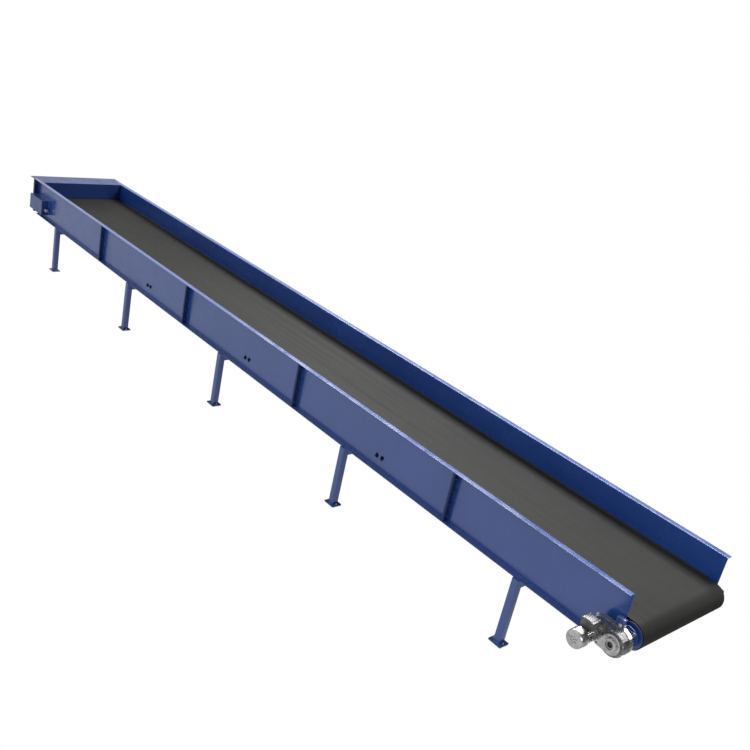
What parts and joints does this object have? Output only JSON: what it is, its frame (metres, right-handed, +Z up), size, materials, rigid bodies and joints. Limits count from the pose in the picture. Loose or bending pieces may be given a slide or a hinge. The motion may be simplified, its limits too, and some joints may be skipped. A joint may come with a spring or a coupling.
{
  "type": "belt conveyor section",
  "caption": "Flat slider-bed belt conveyor with high channel side frames, tail cover, screw take-up, leg frames and a shaft-mounted geared motor at the drive end.",
  "frame": {"origin": "on the floor under the centre of the bounding box", "axes": "+X along the belt from the tail to the drive, -Y towards the side with the drive unit, +Z up"},
  "size_m": [9.895, 1.571, 0.986],
  "materials": {
    "frame_paint": "glossy blue paint on folded and welded steel",
    "pulley_paint": "dark blue paint on welded steel",
    "galvanised_steel": "zinc-coated sheet and tube",
    "belt_cover": "dark grey-green smooth belt cover",
    "lagging_rubber": "black rubber lagging",
    "bright_steel": "bright turned steel",
    "bearing_casting": "grey-green painted cast iron",
    "gear_casting": "dark grey painted casting",
    "cast_aluminium": "light grey cast aluminium",
    "gear_steel": "machined gear steel",
    "fan_plastic": "black moulded plastic",
    "terminal_box_grey": "grey painted aluminium"
  },
  "bodies": {
    "frame": {"side_channel_near_1": "frame_paint", "side_channel_near_2": "frame_paint", "side_channel_near_3": "frame_paint", "side_channel_near_4": "frame_paint", "side_channel_near_5": "frame_paint", "side_channel_far_1": "frame_paint", "side_channel_far_2": "frame_paint", "side_channel_far_3": "frame_paint", "side_channel_far_4": "frame_paint", "side_channel_far_5": "frame_paint", "tail_head": "frame_paint", "slider_bed_1": "galvanised_steel", "slider_bed_2": "galvanised_steel", "slider_bed_3": "galvanised_steel", "slider_bed_4": "galvanised_steel", "slider_bed_5": "galvanised_steel", "leg_frame_1": "frame_paint", "leg_frame_2": "frame_paint", "leg_frame_3": "frame_paint", "leg_frame_4": "frame_paint", "leg_frame_5": "frame_paint", "conveyor_belt": "belt_cover", "bearing_plate_near": "pulley_paint", "bearing_plate_far": "pulley_paint", "bearing_housing_near": "bearing_casting", "bearing_housing_far": "bearing_casting", "take_up_frame_near": "frame_paint", "take_up_frame_far": "frame_paint", "return_axle_1": "bright_steel", "return_axle_2": "bright_steel", "return_axle_3": "bright_steel", "return_bracket_near_1": "galvanised_steel", "return_bracket_near_2": "galvanised_steel", "return_bracket_near_3": "galvanised_steel", "return_bracket_far_1": "galvanised_steel", "return_bracket_far_2": "galvanised_steel", "return_bracket_far_3": "galvanised_steel", "gear_housing": "gear_casting", "gear_inboard_cover": "cast_aluminium", "gear_front_cover": "cast_aluminium", "motor_body": "cast_aluminium", "fan_cowl": "cast_aluminium", "terminal_box": "terminal_box_grey", "terminal_box_lid": "terminal_box_grey"},
    "drive_pulley_assembly": {"drive_pulley": "pulley_paint", "drive_pulley_lagging": "lagging_rubber", "drive_shaft": "bright_steel", "output_wheel": "gear_steel"},
    "take_up_carriage": {"take_up_block_near": "bearing_casting", "take_up_block_far": "bearing_casting"},
    "tail_pulley_assembly": {"tail_pulley": "pulley_paint", "tail_shaft": "bright_steel"},
    "take_up_screw_near_body": {"take_up_screw_near": "bright_steel"},
    "take_up_screw_far_body": {"take_up_screw_far": "bright_steel"},
    "return_roller_1_body": {"return_roller_1": "galvanised_steel"},
    "return_roller_2_body": {"return_roller_2": "galvanised_steel"},
    "return_roller_3_body": {"return_roller_3": "galvanised_steel"},
    "layshaft": {"gear_layshaft": "gear_steel"},
    "rotor": {"motor_rotor": "gear_steel", "cooling_fan": "fan_plastic"}
  },
  "joints": [
    {"name": "drive_pulley_spin", "type": "hinge", "parent": "frame", "child": "drive_pulley_assembly", "pos_m": [4.8455, 0.1475, 0.684], "axis": [0, 1, 0], "continuous": true},
    {"name": "take_up_slide", "type": "slide", "parent": "frame", "child": "take_up_carriage", "axis": [1, 0, 0], "range_m": [0, 0.08]},
    {"name": "tail_pulley_spin", "type": "hinge", "parent": "take_up_carriage", "child": "tail_pulley_assembly", "pos_m": [-4.7145, 0.1475, 0.684], "axis": [0, 1, 0], "continuous": true},
    {"name": "take_up_screw_near_turn", "type": "hinge", "parent": "take_up_carriage", "child": "take_up_screw_near_body", "pos_m": [-4.5745, -0.4405, 0.684], "axis": [1, 0, 0], "range_deg": [0, 7200]},
    {"name": "take_up_screw_far_turn", "type": "hinge", "parent": "take_up_carriage", "child": "take_up_screw_far_body", "pos_m": [-4.5745, 0.7355, 0.684], "axis": [1, 0, 0], "range_deg": [0, 7200]},
    {"name": "return_roller_1_spin", "type": "hinge", "parent": "frame", "child": "return_roller_1_body", "pos_m": [-1.6345, 0.1475, 0.5517], "axis": [0, 1, 0], "continuous": true},
    {"name": "return_roller_2_spin", "type": "hinge", "parent": "frame", "child": "return_roller_2_body", "pos_m": [0.3655, 0.1475, 0.5517], "axis": [0, 1, 0], "continuous": true},
    {"name": "return_roller_3_spin", "type": "hinge", "parent": "frame", "child": "return_roller_3_body", "pos_m": [2.3655, 0.1475, 0.5517], "axis": [0, 1, 0], "continuous": true},
    {"name": "gear_layshaft_spin", "type": "hinge", "parent": "frame", "child": "layshaft", "pos_m": [4.76096, -0.5205, 0.70842], "axis": [0, 1, 0], "continuous": true},
    {"name": "motor_rotor_spin", "type": "hinge", "parent": "frame", "child": "rotor", "pos_m": [4.7105, -0.6405, 0.701], "axis": [0, 1, 0], "continuous": true}
  ],
  "couplings": [
    {"joint": "tail_pulley_spin", "follows": "drive_pulley_spin", "ratio": 1},
    {"joint": "take_up_screw_near_turn", "follows": "take_up_slide", "rad_per_m": 1570.8},
    {"joint": "take_up_screw_far_turn", "follows": "take_up_slide", "rad_per_m": 1570.8},
    {"joint": "return_roller_1_spin", "follows": "drive_pulley_spin", "ratio": -3.2833},
    {"joint": "return_roller_2_spin", "follows": "drive_pulley_spin", "ratio": -3.2833},
    {"joint": "return_roller_3_spin", "follows": "drive_pulley_spin", "ratio": -3.2833},
    {"joint": "gear_layshaft_spin", "follows": "drive_pulley_spin", "ratio": -4.8667},
    {"joint": "motor_rotor_spin", "follows": "drive_pulley_spin", "ratio": 20.59}
  ]
}
